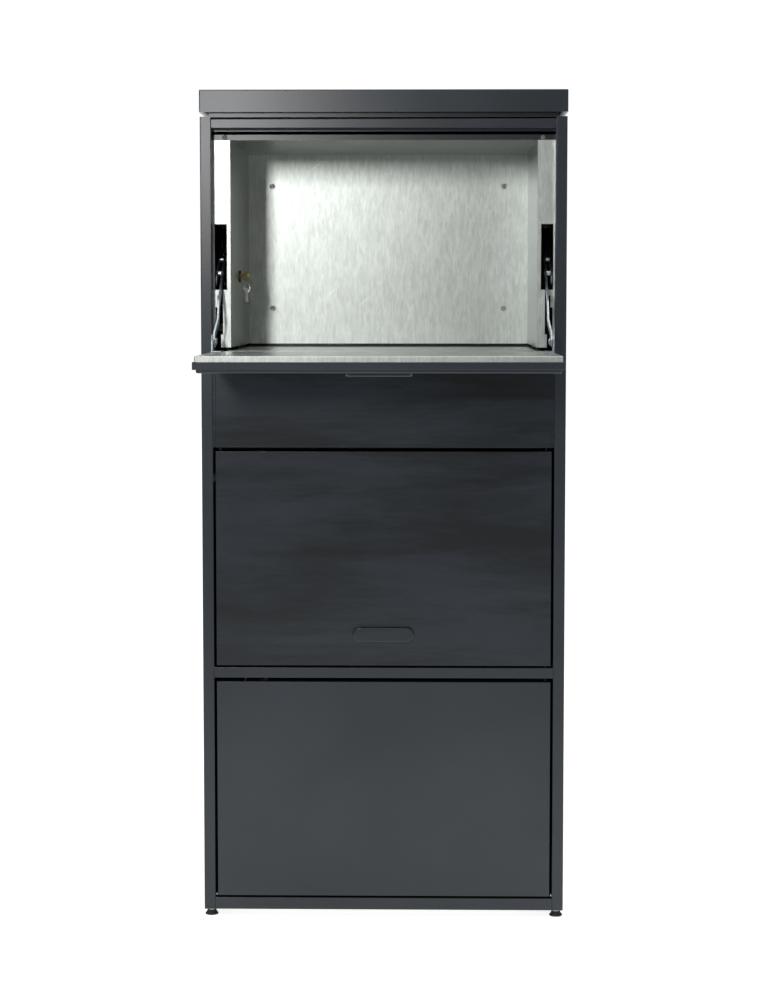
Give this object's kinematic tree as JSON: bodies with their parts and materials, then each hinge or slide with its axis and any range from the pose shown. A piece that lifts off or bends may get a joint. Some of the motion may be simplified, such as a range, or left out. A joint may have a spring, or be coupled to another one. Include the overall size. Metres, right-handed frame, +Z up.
{
  "type": "parcel drop box",
  "caption": "Floor-standing steel parcel drop box: fold-down drop door linked to a falling floor flap, locked storage compartment below, base compartment, levelling feet.",
  "frame": {"origin": "on the floor, at the centre of the footprint with the drop door open", "axes": "+X to the right as seen from the front, +Y to the back, +Z up"},
  "size_m": [0.58, 0.787, 1.32],
  "materials": {
    "anthracite_coat": "fine texture powder coat",
    "galvanised_sheet": "hot dip galvanised",
    "zinc_plated_steel": "zinc plated",
    "bright_steel": "bright zinc plated",
    "lock_brass": "dull nickel on brass",
    "nickel_plate": "nickel plated",
    "black_plastic": "moulded",
    "grey_rubber": "soft",
    "grey_plastic": "moulded"
  },
  "bodies": {
    "cabinet": {"front_posts": "anthracite_coat", "rear_posts": "anthracite_coat", "side_panel_left": "anthracite_coat", "side_panel_right": "anthracite_coat", "back_panel": "anthracite_coat", "roof_deck": "anthracite_coat", "cap_lid": "anthracite_coat", "top_rail": "anthracite_coat", "door_stop_lintel": "anthracite_coat", "door_bumpers": "grey_rubber", "middle_rail": "anthracite_coat", "bottom_rail": "anthracite_coat", "fascia_panel": "anthracite_coat", "storage_floor": "galvanised_sheet", "bottom_panel": "galvanised_sheet", "hopper_wall_left": "galvanised_sheet", "hopper_wall_right": "galvanised_sheet", "hopper_ceiling": "galvanised_sheet", "hopper_back_wall": "galvanised_sheet", "wall_spacers": "bright_steel", "wall_hole_plugs": "grey_plastic", "door_hinge_pins": "bright_steel", "crank_studs": "bright_steel", "flap_hinge_brackets": "zinc_plated_steel", "front_hinge_pins": "bright_steel", "lock_body": "lock_brass", "lock_nut": "bright_steel", "latch_guides": "zinc_plated_steel", "foot_pads": "black_plastic", "foot_studs": "bright_steel"},
    "drop_door": {"door_skin": "anthracite_coat", "door_liner": "galvanised_sheet", "door_stiffener": "galvanised_sheet", "door_bracket_left": "zinc_plated_steel", "door_bracket_right": "zinc_plated_steel", "door_pivot_bolts": "bright_steel"},
    "arm_left": {"link_arm_left": "zinc_plated_steel", "arm_plate_left": "zinc_plated_steel", "arm_bolts_left": "bright_steel"},
    "arm_right": {"link_arm_right": "zinc_plated_steel", "arm_plate_right": "zinc_plated_steel", "arm_bolts_right": "bright_steel"},
    "crank_left": {"crank_left": "zinc_plated_steel"},
    "crank_right": {"crank_right": "zinc_plated_steel"},
    "flap_link_left": {"flap_link_left": "zinc_plated_steel"},
    "flap_link_right": {"flap_link_right": "zinc_plated_steel"},
    "floor_flap": {"floor_flap": "galvanised_sheet"},
    "storage_door": {"storage_door": "anthracite_coat", "storage_door_stiffener": "galvanised_sheet", "storage_striker": "zinc_plated_steel"},
    "base_door": {"base_door": "anthracite_coat", "base_door_keeper": "zinc_plated_steel"},
    "base_slide_bolt": {"base_slide_bolt": "bright_steel"},
    "lock_core": {"lock_core": "lock_brass", "lock_cam": "bright_steel", "cam_circlip": "bright_steel", "key": "lock_brass"},
    "key_bunch": {"key_rings": "nickel_plate", "spare_key": "nickel_plate"},
    "latch_rod": {"latch_rod": "zinc_plated_steel"}
  },
  "joints": [
    {"name": "drop_door", "type": "hinge", "parent": "cabinet", "child": "drop_door", "pos_m": [0, -0.0295, 0.893], "axis": [-1, 0, 0], "range_deg": [0, 90]},
    {"name": "arm_left", "type": "hinge", "parent": "drop_door", "child": "arm_left", "pos_m": [0, -0.0935, 0.926], "axis": [-1, 0, 0], "range_deg": [-90, 0]},
    {"name": "arm_right", "type": "hinge", "parent": "drop_door", "child": "arm_right", "pos_m": [0, -0.0935, 0.926], "axis": [-1, 0, 0], "range_deg": [-90, 0]},
    {"name": "crank_left", "type": "hinge", "parent": "cabinet", "child": "crank_left", "pos_m": [0, 0.2015, 1.079], "axis": [-1, 0, 0], "range_deg": [0, 90]},
    {"name": "crank_right", "type": "hinge", "parent": "cabinet", "child": "crank_right", "pos_m": [0, 0.2015, 1.079], "axis": [-1, 0, 0], "range_deg": [0, 90]},
    {"name": "flap_link_left", "type": "hinge", "parent": "crank_left", "child": "flap_link_left", "pos_m": [0, 0.20235, 1.10299], "axis": [-1, 0, 0], "range_deg": [-90, 0]},
    {"name": "flap_link_right", "type": "hinge", "parent": "crank_right", "child": "flap_link_right", "pos_m": [0, 0.20235, 1.10299], "axis": [-1, 0, 0], "range_deg": [-90, 0]},
    {"name": "floor_flap", "type": "hinge", "parent": "cabinet", "child": "floor_flap", "pos_m": [0, 0.3645, 0.904], "axis": [-1, 0, 0], "range_deg": [-90, 0]},
    {"name": "storage_door", "type": "hinge", "parent": "cabinet", "child": "storage_door", "pos_m": [0.2585, -0.0295, 0.5796], "axis": [0, 0, 1], "range_deg": [0, 110]},
    {"name": "base_door", "type": "hinge", "parent": "cabinet", "child": "base_door", "pos_m": [0.2585, -0.0295, 0.20745], "axis": [0, 0, 1], "range_deg": [0, 110]},
    {"name": "base_slide_bolt", "type": "slide", "parent": "cabinet", "child": "base_slide_bolt", "axis": [-1, 0, 0], "range_m": [0, 0.016]},
    {"name": "lock_turn", "type": "hinge", "parent": "cabinet", "child": "lock_core", "pos_m": [-0.2437, 0.1625, 1.03], "axis": [1, 0, 0], "range_deg": [0, 90]},
    {"name": "key_swing", "type": "hinge", "parent": "lock_core", "child": "key_bunch", "pos_m": [-0.2312, 0.1625, 1.0255], "axis": [1, 0, 0], "range_deg": [-30, 30]},
    {"name": "latch_rod", "type": "slide", "parent": "cabinet", "child": "latch_rod", "axis": [0, 0, 1], "range_m": [0, 0.012]}
  ],
  "couplings": [
    {"joint": "arm_left", "follows": "drop_door", "ratio": -1},
    {"joint": "arm_right", "follows": "drop_door", "ratio": -1},
    {"joint": "crank_left", "follows": "drop_door", "ratio": 1},
    {"joint": "crank_right", "follows": "drop_door", "ratio": 1},
    {"joint": "flap_link_left", "follows": "drop_door", "ratio": -1},
    {"joint": "flap_link_right", "follows": "drop_door", "ratio": -1},
    {"joint": "floor_flap", "follows": "drop_door", "ratio": -1},
    {"joint": "lock_turn", "follows": "latch_rod", "rad_per_m": 130.9}
  ]
}
